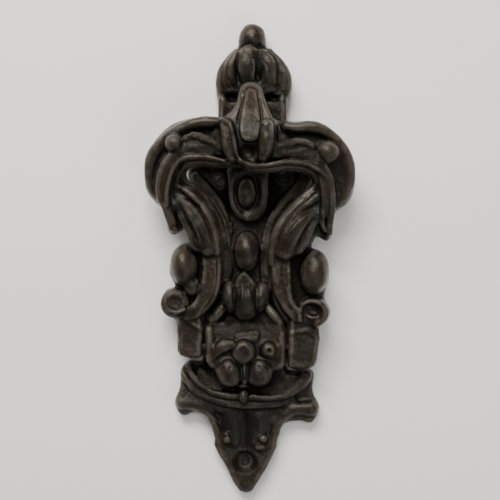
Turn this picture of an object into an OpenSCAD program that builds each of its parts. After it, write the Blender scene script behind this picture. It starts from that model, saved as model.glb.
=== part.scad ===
// Ornate cast door knocker: a back plate that is screwed to the door, and a U-shaped
// knocker that swings on a steel pin through the plate's hinge boss.
// Frame: +Z runs up the door, the front faces -Y, and the door's surface is the plane Y = 0.
// The origin is on that plane, straight behind the middle of the hinge pin.

/* [Hinge] */
// Distance of the pin's axis from the door
pin_out = 12; // [11:0.5:14]
// Diameter of the hinge pin
pin_d = 4; // [3:0.1:4.6]
// Length of the hinge pin, over its rounded ends
pin_len = 57; // [54:0.5:57.5]
// Radial clearance between the pin and the knocker's bores
pin_play = 0.05; // [0.02:0.01:0.1]
// Half width of the boss between the knocker's tabs
boss_half = 17.2; // [15:0.1:17.4]
// How far the boss stands off the door
boss_out = 17; // [15.5:0.5:18]

/* [Back plate] */
// Thickness of the plate around its edge
plate_t = 4.5; // [3.5:0.1:5]
// Diameter of the screw holes
screw_d = 4.2; // [3.6:0.1:4.6]
// Diameter of the countersink of the hole in the crest
sink_d = 7.6; // [6.5:0.1:8]
// Distance of the strike pad's face from the door
pad_out = 14; // [13:0.5:14]

/* [Knocker] */
// Gap between the tongue and the strike pad, at rest
strike_gap = 0.3; // [0.2:0.05:0.5]
// Radius of the berries at the ends of the crossbar
berry_r = 4; // [3:0.25:4.5]
// Radius of the scroll at the root of each arm
scroll_r = 5.6; // [4.5:0.1:5.6]

/* [Hidden] */
$fn = 48;
bronze = [0.20, 0.17, 0.14];
steel = [0.32, 0.31, 0.30];
spline_steps = 3;
boss_x = 1.1;
screw_places = [[12.8, -70], [-14.4, -72]];
crest_screw = [0.7, 49];
screw_wall = 5;

// Outlines are (x, z) pairs and side profiles are (z, distance from the door) pairs.
plate_outline = [
    [0.5, 63.5], [4.5, 59.5], [8, 51.5], [12.5, 44.5], [14, 35.5], [17, 30.3], [22.5, 29],
    [28, 30.3], [31.2, 25], [29, 18], [28.8, 10], [25, 6.4], [19, 6.2], [18.5, 0], [18.5, -10],
    [19.5, -16], [16, -22], [14.5, -32], [14.5, -45], [18, -57], [23, -65], [26.2, -72],
    [24, -78], [17, -81], [14, -88], [14, -98], [15, -109], [12.5, -118], [6.5, -125.5],
    [6.7, -131], [0.5, -137], [-7.2, -130.5], [-7.5, -126], [-15.5, -116.5], [-17, -109],
    [-15.5, -98], [-15, -88], [-19, -81], [-26, -77], [-28.6, -68], [-22, -61], [-15, -50],
    [-12, -38], [-12, -27], [-15, -20], [-17.5, -14], [-16.5, -8], [-16.3, 0], [-16.3, 9.6],
    [-24, 9.8], [-28.5, 11], [-28, 19], [-31, 26], [-28, 32.8], [-22, 32], [-15.5, 33.5],
    [-13, 40], [-10.5, 48], [-6, 55], [-2.5, 61.5]
];
spine_outline = [
    [0.5, 60], [9, 44], [11, 33], [18, 24], [24, 14], [17, 9], [17, -9], [9.5, -16], [9.5, -74],
    [12.5, -85], [12.5, -112], [7, -122], [5, -131], [-6, -131], [-8, -122], [-14, -112],
    [-13.5, -85], [-8, -74], [-7.4, -40], [-7.4, -16], [-15.5, -9], [-15.5, 9], [-22.5, 16],
    [-16, 26], [-10, 34], [-8, 44]
];
spine_profile = [
    [61, 0], [58, 6], [47, 5.5], [36, 6.5], [26, 7.5], [18, 8.5], [11, 13], [8, 16], [0, 16.5],
    [-8, 15.5], [-12, 10.5], [-30, 9], [-52, 9], [-76, 8.5], [-93, 8.5], [-99, 11], [-108, 13],
    [-116, 12], [-123, 8.5], [-128, 10.5], [-132, 9], [-134, 0]
];
// Crossbar, wings and tongue, then the two arms down to their tabs.
knocker_outline = [
    [0.5, -110.5], [5, -106.5], [6, -102], [12.5, -95], [21.5, -96], [30.5, -93.8], [37, -89],
    [42, -81.5], [44, -72], [42.5, -64], [38, -59], [34.2, -57], [34, -48.5], [31.5, -46.4],
    [27.2, -48.4], [24.8, -44.5], [28, -42.6], [32.5, -38], [34, -31], [31.5, -25], [35, -23.5],
    [37, -19], [35.5, -14], [31, -11], [30, -4], [29, 4], [19.1, 4], [19.1, -9.4],
    [17.6, -14.8], [13.1, -21], [11, -28.5], [10.3, -36.5], [10.8, -45], [12.7, -52.2],
    [15.3, -59], [19, -65.4], [26.2, -70.5], [24.5, -74.6], [10.3, -75.6], [-2, -73.5],
    [-10, -74.2], [-22, -73.8], [-26.8, -68.5], [-20.8, -62.8], [-16.7, -58.8], [-12.8, -53.4],
    [-9.7, -46], [-8.3, -38], [-8.2, -32], [-9.3, -24], [-11.2, -17], [-14.4, -12],
    [-16.9, -8], [-16.9, 8.2], [-28.4, 8.2], [-29.8, 0], [-30, -8], [-33.8, -11.5], [-34.5, -16],
    [-32, -21.5], [-34, -29], [-32.8, -35], [-29, -40.4], [-25.9, -42], [-28.1, -46.4],
    [-32.5, -44.4], [-34.6, -47.4], [-35.2, -56], [-41, -60], [-43.6, -67], [-42.8, -76],
    [-38.5, -85.5], [-31, -92.3], [-22.5, -94.3], [-9, -95.5], [-5.5, -102.5], [-4.8, -106.5]
];
knocker_profile = [
    [8.2, 12], [7.2, 15.4], [4, 17], [-8, 17.5], [-14, 21], [-24, 20], [-33, 22.5], [-48, 23],
    [-60, 27], [-72, 32], [-80, 35], [-91, 35], [-97, 31], [-104, 26.5], [-109, 22], [-111, 18],
    [-111, pad_out + strike_gap], [-97, pad_out + strike_gap], [-93, 18], [-74, 18], [-66, 14],
    [-52, 10.5], [-12, 8.5], [-6, 7], [4, 7], [7.2, 8.6]
];

// A Catmull-Rom curve through the points of a closed outline.
function curve_point(a, b, c, d, t) =
    0.5 * (2 * b + (c - a) * t + (2 * a - 5 * b + 4 * c - d) * t * t
    + (3 * b - a - 3 * c + d) * t * t * t);
function rounded(p) = [
    for (i = [0:len(p) - 1], k = [0:spline_steps - 1])
        curve_point(p[(i + len(p) - 1) % len(p)], p[i], p[(i + 1) % len(p)],
            p[(i + 2) % len(p)], k / spline_steps)
];

// Places its children at (x, z) on the door, with their own +Z pointing out of the door.
module on_door(x, z, out = 0) {
    translate([x, -out, z])
        rotate([90, 0, 0])
            children();
}

// A flat outline raised off the door.
module raised(points, height, base = 0) {
    on_door(0, 0, base)
        linear_extrude(height - base)
            polygon(points);
}

// A side profile drawn across the whole width.
module across(profile, width = 120) {
    rotate([90, 0, 90])
        linear_extrude(width, center = true)
            polygon([for (p = profile) [-p[1], p[0]]]);
}

// A bead with round ends, standing up the door.
module bead(x, z, r, length, out) {
    translate([x, -(out - r), z]) {
        translate([0, 0, -length / 2])
            cylinder(r = r, h = length);
        for (end = [-1, 1])
            translate([0, 0, end * length / 2])
                sphere(r = r);
    }
}

module dome(x, z, r, out) {
    translate([x, -(out - r), z])
        sphere(r = r);
}

module hinge_line(r, length) {
    translate([0, -pin_out, 0])
        rotate([0, 90, 0])
            cylinder(r = r, h = length, center = true);
}

module rosette() {
    for (petal = [[8, 10.5, 6], [-5.2, 11, 6], [10.6, 0.6, 5], [-8.2, 0.6, 5], [-0.8, -4.5, 5]])
        dome(petal[0], petal[1], petal[2], 19);
    on_door(1.5, 1.4, boss_out - 2)
        cylinder(r = 4.9, h = 5);
}

// The swag is a pair of round ridges along one arc under the rosette.
module swag() {
    for (ridge = [[29.6, 1.8, 9.5], [25.6, 1.6, 8.8]])
        on_door(0.5, -6, ridge[2] - ridge[1])
            rotate([0, 0, 34])
                rotate_extrude(angle = 112)
                    translate([ridge[0], 0])
                        circle(r = ridge[1]);
}

module plate_ornament() {
    bead(2, -63.5, 5, 7, 15);
    bead(1, -40, 5.3, 6.5, 15);
    bead(0.8, -21.5, 4.6, 9, 15);
    bead(5.6, -20, 3, 7, 13);
    bead(-4.8, -20, 3, 7, 13);
    dome(-0.5, -131, 6.3, 11.5);
    dome(28, 23.5, 4.4, 8);
    dome(-27.8, 27.5, 4.4, 8);
    dome(8.2, 40, 2.4, 7.5);
    dome(-6.6, 41, 2.4, 7.5);
    rosette();
    swag();
}

module back_plate() {
    color(bronze)
        difference() {
            union() {
                raised(rounded(plate_outline), plate_t);
                intersection() {
                    raised(spine_outline, boss_out + 1);
                    across(spine_profile);
                }
                translate([boss_x - boss_half, -boss_out, -9.4])
                    cube([2 * boss_half, boss_out, 18.4]);
                on_door(0, -105)
                    cylinder(r = 4.5, h = pad_out);
                plate_ornament();
                for (place = screw_places)
                    on_door(place[0], place[1])
                        cylinder(r = screw_d, h = screw_wall);
            }
            hinge_line(pin_d / 2, 4 * boss_half);
            for (place = screw_places)
                on_door(place[0], place[1], -1)
                    cylinder(d = screw_d, h = 30);
            on_door(crest_screw[0], crest_screw[1], -1)
                cylinder(d = screw_d, h = 30);
            on_door(crest_screw[0], crest_screw[1], plate_t - 1.2)
                cylinder(d1 = screw_d, d2 = sink_d + 2, h = 2.6);
            // Everything behind the door's surface is cut away flat.
            translate([-60, 0, -150])
                cube([120, 30, 240]);
        }
}

module knocker_ornament() {
    dome(31, -84, berry_r, 31 + berry_r);
    dome(-32.4, -81.5, berry_r, 31 + berry_r);
    bead(9.6, -86, 3.6, 10, 38.5);
    bead(-5.5, -86, 3.6, 10, 38.5);
    dome(27, -33, 6.2, 25);
    dome(-27, -30.5, 6.2, 25);
    on_door(31, -18.2, 10)
        cylinder(r = scroll_r, h = 12.5);
    on_door(-28.6, -15, 10)
        cylinder(r = scroll_r, h = 12.5);
}

module knocker() {
    color(bronze)
        difference() {
            union() {
                intersection() {
                    raised(rounded(knocker_outline), 50, 5);
                    across(knocker_profile);
                }
                knocker_ornament();
            }
            hinge_line(pin_d / 2 + pin_play, 4 * boss_half);
        }
}

module hinge_pin() {
    tip = 0.5;
    color(steel) {
        hinge_line(pin_d / 2, pin_len - 2 * tip);
        for (end = [-1, 1])
            translate([end * (pin_len / 2 - tip), -pin_out, 0])
                rotate([0, end * 90, 0])
                    cylinder(r1 = pin_d / 2, r2 = pin_d / 2 - tip, h = tip);
    }
}

back_plate();
knocker();
hinge_pin();
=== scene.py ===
"""Looks for the cast door knocker: both castings are sculpted as signed-distance clay in the CAD's frame."""

import math

import bpy
import numpy as np
from mathutils import Matrix, Vector


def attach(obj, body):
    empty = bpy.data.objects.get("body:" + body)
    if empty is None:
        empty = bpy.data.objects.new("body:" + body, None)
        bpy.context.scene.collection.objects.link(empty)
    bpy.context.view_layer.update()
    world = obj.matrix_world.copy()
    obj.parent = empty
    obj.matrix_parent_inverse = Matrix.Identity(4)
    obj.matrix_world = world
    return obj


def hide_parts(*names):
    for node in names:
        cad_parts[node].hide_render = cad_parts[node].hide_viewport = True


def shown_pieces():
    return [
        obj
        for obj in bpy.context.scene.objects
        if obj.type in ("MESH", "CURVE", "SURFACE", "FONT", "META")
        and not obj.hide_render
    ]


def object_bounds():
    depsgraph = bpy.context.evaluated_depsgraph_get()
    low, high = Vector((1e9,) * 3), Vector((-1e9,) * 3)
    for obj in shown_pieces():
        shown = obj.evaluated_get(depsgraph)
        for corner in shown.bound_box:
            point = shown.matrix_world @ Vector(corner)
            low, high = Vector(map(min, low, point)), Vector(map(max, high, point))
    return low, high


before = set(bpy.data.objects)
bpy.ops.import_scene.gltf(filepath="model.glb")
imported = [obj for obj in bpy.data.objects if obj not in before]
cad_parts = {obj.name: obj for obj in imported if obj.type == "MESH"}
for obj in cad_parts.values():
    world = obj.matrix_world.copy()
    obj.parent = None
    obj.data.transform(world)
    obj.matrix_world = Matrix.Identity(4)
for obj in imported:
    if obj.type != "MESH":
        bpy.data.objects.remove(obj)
cad_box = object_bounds()

MM = 0.001
GRID = 0.4  # millimetres between the clay's samples
FAR = 9.0  # millimetres: the distance that an empty block starts with
WHOLE = 99.0  # millimetres: a window that deep takes in a block's whole height
UNSET = 1e9  # larger than any distance
SMALL, TINY = 1e-6, 1e-9  # keep divisors off zero
DENTS = ((0.12, 7), (0.08, 2.6))  # height and size, in millimetres
FINE_GRAIN, COARSE_GRAIN, GRAIN_HEIGHT = 0.9, 1.8, 0.2  # millimetres, where a face is rough
SOFTEN = 2.0  # millimetres either way along z, over which a slab's height profile is averaged
FIT_MARGIN, FIT_BLEND = 0.05, 0.8  # millimetres inside the CAD model's box
RELIEF_RADII = {"depth": 8.0, "relief": 3.0, "crest": 0.9}  # millimetres around each vertex


# --- Clay: a block of signed distances, in millimetres, over x, z and h (how far off the door) ---

def smooth_low(a, b, blend):
    """The lower of two distances, with the seam between them rounded over blend millimetres."""
    if blend <= 0:
        return np.minimum(a, b)
    t = np.maximum(blend - np.abs(a - b), 0) / blend
    return np.minimum(a, b) - t * t * blend * 0.25


def smooth_high(a, b, blend):
    return -smooth_low(-a, -b, blend)


def catmull_rom(a, b, c, d, t):
    """The curve from b to c, at t from 0 to 1, with a and d as the points before and after them."""
    return 0.5 * (2 * b + (c - a) * t + (2 * a - 5 * b + 4 * c - d) * t * t
                  + (3 * b - a - 3 * c + d) * t ** 3)


def through(points, step=0.7):
    """A Catmull-Rom curve through (x, z, h, radius) points, sampled about every step millimetres."""
    p = np.array(points, float)
    if len(p) == 2:
        n = max(2, int(np.linalg.norm(p[1, :2] - p[0, :2]) / step))
        t = np.linspace(0, 1, n + 1)[:, None]
        return p[0] * (1 - t) + p[1] * t
    p = np.vstack([2 * p[0] - p[1], p, 2 * p[-1] - p[-2]])
    made = []
    for a, b, c, d in zip(p, p[1:], p[2:], p[3:]):
        n = max(2, int(np.linalg.norm(c[:2] - b[:2]) / step))
        t = np.arange(n)[:, None] / n
        made.append(catmull_rom(a, b, c, d, t))
    return np.vstack(made + [p[-2:-1]])


class Clay:
    """A block of clay: d holds the distances, and grit how rough each (x, z) is."""

    def __init__(self, low, high):
        self.low = np.array(low, float)
        self.size = np.ceil((np.array(high) - self.low) / GRID).astype(int) + 1
        self.d = np.full(self.size, FAR, np.float32)
        self.axes = [self.low[i] + GRID * np.arange(self.size[i]) for i in range(3)]
        self.grit = np.zeros(self.size[:2], np.float32)

    def window(self, low, high):
        """Slices of the block around a box, and the x, z and h coordinates in it."""
        cut = []
        for i in range(3):
            a = int(np.clip((low[i] - self.low[i]) // GRID, 0, self.size[i]))
            b = int(np.clip((high[i] - self.low[i]) // GRID + 2, 0, self.size[i]))
            cut.append(slice(a, b))
        x, z, h = (self.axes[i][cut[i]].astype(np.float32) for i in range(3))
        return tuple(cut), x[:, None], z[None, :], h[None, None, :]

    def along(self, points, reach):
        """For each (x, z) near a path: its distance, and the path's h, radius and share of length there."""
        path = through(points)
        room = path[:, 3].max() + reach
        low = [path[:, 0].min() - room, path[:, 1].min() - room, -WHOLE]
        high = [path[:, 0].max() + room, path[:, 1].max() + room, WHOLE]
        cut, x, z, h = self.window(low, high)
        steps = np.linalg.norm(np.diff(path[:, :2], axis=0), axis=1)
        run = np.concatenate([[0], np.cumsum(steps)])
        best = np.full(np.broadcast_shapes(x.shape, z.shape), UNSET, np.float32)
        fields = [np.zeros_like(best) for _ in range(4)]
        for i in range(len(path) - 1):
            a, b = path[i], path[i + 1]
            leg = b[:2] - a[:2]
            square = max(float(leg @ leg), TINY)
            t = np.clip(((x - a[0]) * leg[0] + (z - a[1]) * leg[1]) / square, 0, 1)
            dx = x - (a[0] + t * leg[0])
            dz = z - (a[1] + t * leg[1])
            away = np.sqrt(dx * dx + dz * dz)
            radius = a[3] + t * (b[3] - a[3])
            nearer = away - radius < best
            best = np.where(nearer, away - radius, best)
            values = (away, a[2] + t * (b[2] - a[2]), radius, (run[i] + t * steps[i]) / run[-1])
            for field, value in zip(fields, values):
                np.copyto(field, value, where=nearer)
        return cut, h, fields

    def stroke(self, points, blend=1.5, flat=1):
        """Adds a rounded bar along a path of (x, z, h, radius) points, whose sides drop straight to the back,
        as they do on a casting. flat is its height over its half width."""
        cut, h, (away, top, radius, _) = self.along(points, blend + 2)
        up = np.maximum(h - (top - radius * flat)[:, :, None], 0)
        wide = (away / radius)[:, :, None]
        tall = up / (radius * flat)[:, :, None]
        k0 = np.sqrt(wide ** 2 + tall ** 2) + SMALL
        k1 = np.sqrt((wide / radius[:, :, None]) ** 2 + (tall / (radius * flat)[:, :, None]) ** 2) + SMALL
        self.d[cut] = smooth_low(self.d[cut], (k0 * (k0 - 1) / k1).astype(np.float32), blend)

    def strokes(self, paths, **how):
        for path in paths:
            self.stroke(path, **how)

    def ellipsoid(self, x0, z0, top, radii, turn, blend, skirt):
        """Distances to an ellipsoid whose top is that far off the door. radii are across, along and out."""
        room = max(radii[:2]) + blend + 1.5
        cut, x, z, h = self.window([x0 - room, z0 - room, -WHOLE], [x0 + room, z0 + room, WHOLE])
        c, s = math.cos(math.radians(turn)), math.sin(math.radians(turn))
        u = ((x - x0) * c + (z - z0) * s)[:, :, None]
        v = (-(x - x0) * s + (z - z0) * c)[:, :, None]
        w = h - (top - radii[2])
        if skirt:
            w = np.maximum(w, 0)
        k0 = np.sqrt((u / radii[0]) ** 2 + (v / radii[1]) ** 2 + (w / radii[2]) ** 2) + SMALL
        k1 = np.sqrt((u / radii[0] ** 2) ** 2 + (v / radii[1] ** 2) ** 2 + (w / radii[2] ** 2) ** 2) + SMALL
        return cut, (k0 * (k0 - 1) / k1).astype(np.float32)

    def blob(self, x0, z0, top, radii, turn=0, blend=1.2):
        """Adds an ellipsoid, with straight sides below its middle."""
        cut, made = self.ellipsoid(x0, z0, top, radii, turn, blend, skirt=True)
        self.d[cut] = smooth_low(self.d[cut], made, blend)

    def scoop(self, x0, z0, top, radii, turn=0, blend=1.2):
        """Takes an ellipsoid away."""
        cut, made = self.ellipsoid(x0, z0, top, radii, turn, blend, skirt=False)
        self.d[cut] = smooth_high(self.d[cut], -made, blend)

    def engrave(self, points, half_width, depth):
        """Sinks a soft groove along (x, z) points, or raises a ridge where depth is negative."""
        widths = np.broadcast_to(half_width, len(points))
        path = [(x, z, 0, width) for (x, z), width in zip(points, widths)]
        cut, _, (away, _, radius, share) = self.along(path, 1.0)
        ends = np.clip(np.minimum(share, 1 - share) * 8, 0, 1)
        self.d[cut] += (depth * ends * np.exp(-(away / (0.6 * radius)) ** 2))[:, :, None].astype(np.float32)

    def trim(self, made, blend=0):
        """Keeps only what is also inside made, a distance over the whole block."""
        self.d = smooth_high(self.d, made, blend).astype(np.float32)


def polygon_distance(points, x, z):
    """Signed distance in the plane to a closed outline, negative inside."""
    best = np.full(np.broadcast_shapes(x.shape, z.shape), UNSET, np.float32)
    inside = np.zeros(best.shape, bool)
    for (ax, az), (bx, bz) in zip(points, np.roll(points, -1, axis=0)):
        leg = np.array([bx - ax, bz - az])
        t = np.clip(((x - ax) * leg[0] + (z - az) * leg[1]) / max(leg @ leg, TINY), 0, 1)
        away = np.hypot(x - ax - t * leg[0], z - az - t * leg[1])
        best = np.minimum(best, away)
        crosses = (az > z) != (bz > z)
        if abs(bz - az) > TINY:
            inside ^= crosses & (x < ax + (z - az) * (bx - ax) / (bz - az))
    return np.where(inside, -best, best)


def surface_net(clay):
    """The clay's surface as vertices, in metres in the object's frame, and quads."""
    d = clay.d
    corner = [(i, j, k) for i in (0, 1) for j in (0, 1) for k in (0, 1)]
    n = [s - 1 for s in d.shape]
    inside = d < 0
    count = sum(inside[i:i + n[0], j:j + n[1], k:k + n[2]].astype(np.int8) for i, j, k in corner)
    cells = np.argwhere((count > 0) & (count < 8))
    value = np.stack([d[cells[:, 0] + i, cells[:, 1] + j, cells[:, 2] + k] for i, j, k in corner], axis=1)
    total = np.zeros((len(cells), 3))
    found = np.zeros(len(cells))
    for a in range(8):
        for axis in range(3):
            b = a | (4 >> axis)  # the corner one step along the axis
            if b == a:
                continue
            crosses = (value[:, a] < 0) != (value[:, b] < 0)
            t = np.where(crosses, value[:, a] / np.where(crosses, value[:, a] - value[:, b], 1), 0)
            place = np.tile(np.array(corner[a], float), (len(cells), 1))
            place[:, axis] += t
            total += np.where(crosses[:, None], place, 0)
            found += crosses
    vertices = clay.low + GRID * (cells + total / found[:, None])
    number = np.full(n, -1, np.int64)
    number[tuple(cells.T)] = np.arange(len(cells))
    quads = []
    for axis in range(3):
        low = [slice(None)] * 3
        high = [slice(None)] * 3
        low[axis], high[axis] = slice(0, -1), slice(1, None)
        flips = inside[tuple(low)] != inside[tuple(high)]
        edge = np.argwhere(flips)
        u, v = [a for a in range(3) if a != axis]
        at_u, at_v = edge[:, u], edge[:, v]
        edge = edge[(at_u > 0) & (at_v > 0) & (at_u < d.shape[u] - 1) & (at_v < d.shape[v] - 1)]
        ring = []
        for du, dv in ((-1, -1), (0, -1), (0, 0), (-1, 0)):
            at = edge.copy()
            at[:, u] += du
            at[:, v] += dv
            ring.append(number[tuple(at.T)])
        ring = np.stack(ring, axis=1)
        starts_inside = inside[tuple(edge.T)]
        turned = starts_inside if axis == 1 else ~starts_inside
        ring[turned] = ring[turned][:, ::-1]
        quads.append(ring)
    return vertices, np.vstack(quads)[:, ::-1]


def blurred(heights, radius):
    """Heights over the door, averaged over about radius millimetres, three times over."""
    n = max(1, int(round(radius / GRID)))
    for axis in (0, 1) * 3:
        padded = np.pad(heights, [(n + 1, n) if a == axis else (0, 0) for a in (0, 1)], mode="edge")
        total = np.cumsum(padded, axis=axis)
        ahead = np.take(total, range(2 * n + 1, total.shape[axis]), axis)
        behind = np.take(total, range(0, total.shape[axis] - 2 * n - 1), axis)
        heights = (ahead - behind) / (2 * n + 1)
    return heights


def sample(clay, field, vertices):
    """Reads a field over the door at each vertex."""
    at = (vertices[:, :2] - clay.low[:2]) / GRID
    i = np.clip(at.astype(int), 0, np.array(field.shape) - 2)
    u, v = (at - i).T
    i, j = i.T
    return (field[i, j] * (1 - u) * (1 - v) + field[i + 1, j] * u * (1 - v)
            + field[i, j + 1] * (1 - u) * v + field[i + 1, j + 1] * u * v)


def relief(clay, vertices, radius):
    """How far each vertex stands above the average face around it, in millimetres."""
    h = clay.axes[2]
    top = np.where(clay.d < 0, h[None, None, :], h[0]).max(axis=2)
    around = blurred(top, radius)
    return vertices[:, 2] - sample(clay, around, vertices)


def to_mesh(name, clay):
    vertices, quads = surface_net(clay)
    mesh = bpy.data.meshes.new(name)
    mesh.vertices.add(len(vertices))
    place = vertices[:, [0, 2, 1]] * (MM, -MM, MM)
    mesh.vertices.foreach_set("co", place.astype(np.float32).ravel())
    mesh.loops.add(4 * len(quads))
    mesh.loops.foreach_set("vertex_index", quads.astype(np.int32).ravel())
    mesh.polygons.add(len(quads))
    mesh.polygons.foreach_set("loop_start", np.arange(0, 4 * len(quads), 4, dtype=np.int32))
    mesh.polygons.foreach_set("loop_total", np.full(len(quads), 4, dtype=np.int32))
    mesh.update(calc_edges=True)
    mesh.shade_smooth()
    fields = {label: relief(clay, vertices, radius) for label, radius in RELIEF_RADII.items()}
    fields["grit"] = sample(clay, clay.grit, vertices)
    for label, values in fields.items():
        mesh.attributes.new(label, "FLOAT", "POINT").data.foreach_set("value", values.astype(np.float32))
    piece = bpy.data.objects.new(name, mesh)
    bpy.context.scene.collection.objects.link(piece)
    return piece


def rounded(points, steps=4):
    """A closed outline with a smooth curve through its points."""
    p = np.array(points, float)
    made = []
    for i in range(len(p)):
        a, b, c, d = p[i - 1], p[i], p[(i + 1) % len(p)], p[(i + 2) % len(p)]
        made.extend(catmull_rom(a, b, c, d, t) for t in np.arange(steps) / steps)
    return np.array(made)


def plan(clay):
    """The x and z coordinates of the whole block, for distances in the plane of the door."""
    return clay.axes[0][:, None], clay.axes[1][None, :]


def slab(clay, outline, tops, edge=2, blend=1):
    """Adds a plate of that outline whose face follows tops, (z, height) pairs, with its edge rounded over."""
    x, z = plan(clay)
    inside = polygon_distance(outline, x, z)[:, :, None]
    heights = np.array(tops, float)
    top = np.interp(clay.axes[1], heights[:, 0], heights[:, 1])
    reach = int(SOFTEN / GRID)
    share = np.full(2 * reach + 1, 1 / (2 * reach + 1))
    top = np.convolve(np.pad(top, reach, mode="edge"), share, mode="valid")[None, :, None]
    h = clay.axes[2][None, None, :]
    clay.d = smooth_low(clay.d, smooth_high(inside, h - top, edge), blend).astype(np.float32)


def keep_above(clay, backs, blend=1):
    """Cuts the back off at the heights of backs, which are (z, height) pairs."""
    heights = np.array(backs, float)
    back = np.interp(clay.axes[1], heights[:, 0], heights[:, 1])[None, :, None]
    clay.trim(back - clay.axes[2][None, None, :], blend)


def fit(clay):
    """Rounds off whatever would stand outside the CAD model's own box."""
    low, high = np.array(cad_box) / MM
    for axis, (near, far) in enumerate(((low[0], high[0]), (low[2], high[2]), (-high[1], -low[1]))):
        at = clay.axes[axis].reshape([-1 if a == axis else 1 for a in range(3)])
        clay.trim(at - far + FIT_MARGIN, FIT_BLEND)
        if axis < 2:
            clay.trim(near + FIT_MARGIN - at, FIT_BLEND)


def soft_noise(shape, cell, seed):
    """Smooth random heights over a plane, about 1 high, with bumps about cell samples across."""
    chance = np.random.RandomState(seed)
    coarse = chance.normal(size=[int(s / cell) + 4 for s in shape])
    for axis in (0, 1):
        at = np.arange(shape[axis]) / cell + 1
        i = at.astype(int)
        t = at - i
        t = (t * t * (3 - 2 * t)).reshape([-1, 1] if axis == 0 else [1, -1])
        coarse = np.take(coarse, i, axis) * (1 - t) + np.take(coarse, i + 1, axis) * t
    return coarse


def sand_cast(clay, spots, seed):
    """Makes the faces gently uneven, and rough at the spots, which are (x, z, across, along, amount)."""
    shape = clay.d.shape[:2]
    for number, (amount, size) in enumerate(DENTS):
        clay.d += (amount * soft_noise(shape, size / GRID, seed + number))[:, :, None].astype(np.float32)
    x, z = plan(clay)
    for x0, z0, across, along, amount in spots:
        spot = np.exp(-((x - x0) / across) ** 2 - ((z - z0) / along) ** 2)
        clay.grit = np.maximum(clay.grit, (amount * spot).astype(np.float32))
    grains = (soft_noise(shape, FINE_GRAIN / GRID, seed + 2)
              + 0.7 * soft_noise(shape, COARSE_GRAIN / GRID, seed + 3))
    clay.d += (GRAIN_HEIGHT * grains * clay.grit)[:, :, None].astype(np.float32)


# --- The two castings ---

PIN_OUT = 12.0
PIN_BORE_R = 2.05  # in the knocker, which turns on the pin
PIN_PRESS_R = 1.98  # in the plate, which grips it
SCREW_R = 2.1
SINK_FROM = 3.3  # off the door: above it the crest's screw hole widens into its countersink
LOW_SCREWS = ((12.8, -70), (-14.4, -72))
CREST_SCREW = (0.7, 49)

# Outlines are (x, z) points. A stroke's points are (x, z, h, radius), and tops and backs are (z, h) pairs.
KNOCKER_OUTLINE = [
    (0.5, -110), (4.8, -106.5), (5.8, -102), (12.5, -95), (21.5, -95.5), (30.5, -93.3), (36.8, -88.7),
    (41.7, -81.3), (43.6, -72), (42.2, -64), (38, -59.5), (34, -57), (33.7, -48.5), (31.5, -46.8),
    (27.2, -48.6), (24.6, -44.5), (28, -42.8), (32, -38), (33.5, -31), (31, -25), (34.5, -23.5), (36.5, -19),
    (35, -14.3), (30.8, -11), (29.8, -4), (28.6, 3.8), (19.3, 4), (19.3, -9.4), (17.8, -14.8), (13.3, -21),
    (11.2, -28.5), (10.5, -36.5), (11, -45), (12.9, -52.2), (15.5, -59), (19.2, -65), (26.2, -70.3),
    (24.5, -74.8), (10.3, -75.8), (-2, -73.7), (-10, -74.4), (-22, -74), (-26.6, -68.5), (-21, -62.8),
    (-16.9, -58.8), (-13, -53.4), (-9.9, -46), (-8.5, -38), (-8.4, -32), (-9.5, -24), (-11.4, -17),
    (-14.6, -12), (-17.1, -8), (-17.1, 7.8), (-28, 7.8), (-29.5, 0), (-29.8, -8), (-33.3, -11.5),
    (-34.2, -16), (-31.8, -21.5), (-33.6, -29), (-32.4, -35), (-29, -40.6), (-26, -42.3), (-28.1, -46.6),
    (-32.3, -44.8), (-34.3, -47.4), (-34.9, -56), (-40.6, -60.3), (-43.2, -67), (-42.4, -76), (-38.2, -85.2),
    (-31, -91.9), (-22.5, -94), (-9, -95.2), (-5.3, -102.5), (-4.6, -106.5)
]
TONGUE = [
    (4.5, -107.5), (3.5, -109.2), (2, -110.2), (-0.5, -110.5), (-2.5, -109.9), (-4.2, -108), (-5.3, -104),
    (-6.3, -100.5), (-7.5, -97.2), (-8.8, -94.8), (-10.3, -92.3), (-10.3, -82), (-4.5, -77.5), (4, -77),
    (11, -81), (11.8, -89), (11.6, -92.8), (9.5, -94.8), (7.3, -97.3), (5.7, -99.5), (5.3, -103)
]
TONGUE_PANEL = [
    (2.3, -105.5), (1.5, -106.5), (0.3, -106.9), (-1.2, -106.5), (-2, -105.5), (-2.7, -101), (-3.6, -96.5),
    (-4.2, -91), (-3.5, -86), (0.3, -84.5), (4, -86), (4.5, -91), (4, -96.5), (3.2, -101)
]
ARM_LEAVES = (
    [(30, -68.5), (25.5, -68), (20.3, -63.3), (16.6, -57.5), (13.9, -51), (12.6, -44.5), (12.6, -39.5),
     (16, -38), (20.5, -39.5), (24, -42.5), (25.5, -48), (28.5, -54), (31.5, -60)],
    [(-28.5, -67.5), (-25.8, -66.5), (-21, -62), (-16.7, -57.5), (-13, -52), (-10.3, -46), (-9.5, -38.5),
     (-14, -37), (-19, -38.5), (-22.5, -41.5), (-24.5, -47), (-27.5, -53), (-30, -60)])
TABS = (
    [(29.7, -10), (29.2, -3), (28.6, 2.6), (27.6, 3.7), (20.6, 4), (19.5, 3), (19.3, -2), (19.3, -10),
     (21.5, -15), (27, -15)],
    [(-17.2, -9), (-17.2, 6.2), (-18.6, 7.8), (-26.6, 7.6), (-28.2, 6), (-29.2, 0), (-29.7, -8), (-27, -13.5),
     (-19.5, -13)])


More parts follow.
